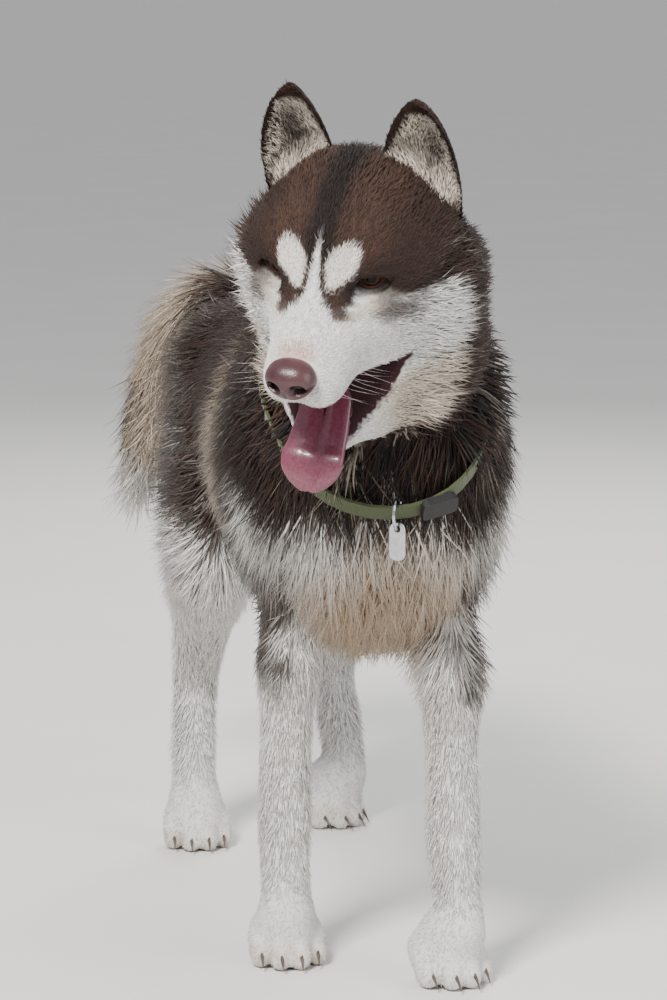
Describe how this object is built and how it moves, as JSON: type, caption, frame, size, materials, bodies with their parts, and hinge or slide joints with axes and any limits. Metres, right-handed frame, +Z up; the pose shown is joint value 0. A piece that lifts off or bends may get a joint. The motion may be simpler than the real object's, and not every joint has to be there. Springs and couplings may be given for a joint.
{
  "type": "siberian husky",
  "caption": "Life-size standing dog with a thick coat, head turned and mouth open, wearing a collar with a blank tag; a still museum model.",
  "frame": {"origin": "middle of the bounding box, at the level that the paws stand on", "axes": "+Z up, the dog faces -Y, its left side is +X"},
  "size_m": [0.2692, 0.8986, 0.7534],
  "materials": {
    "claw": "dull horn",
    "collar": "woven green webbing",
    "buckle": "moulded black plastic",
    "ring": "polished wire",
    "coat": "thick double coat, dark copper brown above and white below, with cream between",
    "eye": "wet, dark brown",
    "nose": "damp liver-coloured skin with a fine pebble grain",
    "tag": "brushed, blank on both sides",
    "tongue": "wet and finely rough"
  },
  "bodies": {
    "root": {"claw_front_left_1": "claw", "claw_front_left_2": "claw", "claw_front_left_3": "claw", "claw_front_left_4": "claw", "claw_front_right_1": "claw", "claw_front_right_2": "claw", "claw_front_right_3": "claw", "claw_front_right_4": "claw", "claw_hind_left_1": "claw", "claw_hind_left_2": "claw", "claw_hind_left_3": "claw", "claw_hind_left_4": "claw", "claw_hind_right_1": "claw", "claw_hind_right_2": "claw", "claw_hind_right_3": "claw", "claw_hind_right_4": "claw", "collar": "collar", "collar_buckle": "buckle", "collar_ring": "ring", "ear_left": "coat", "ear_right": "coat", "eye_left": "eye", "eye_right": "eye", "foreleg_left": "coat", "foreleg_right": "coat", "forepaw_left": "coat", "forepaw_right": "coat", "head": "coat", "hind_foot_left": "coat", "hind_foot_right": "coat", "lower_jaw": "coat", "neck": "coat", "nose": "nose", "shank_left": "coat", "shank_right": "coat", "shoulder_left": "coat", "shoulder_right": "coat", "tag": "tag", "tail_base": "coat", "tail_middle": "coat", "tail_tip": "coat", "thigh_left": "coat", "thigh_right": "coat", "tongue": "tongue", "torso": "coat"}
  },
  "joints": []
}
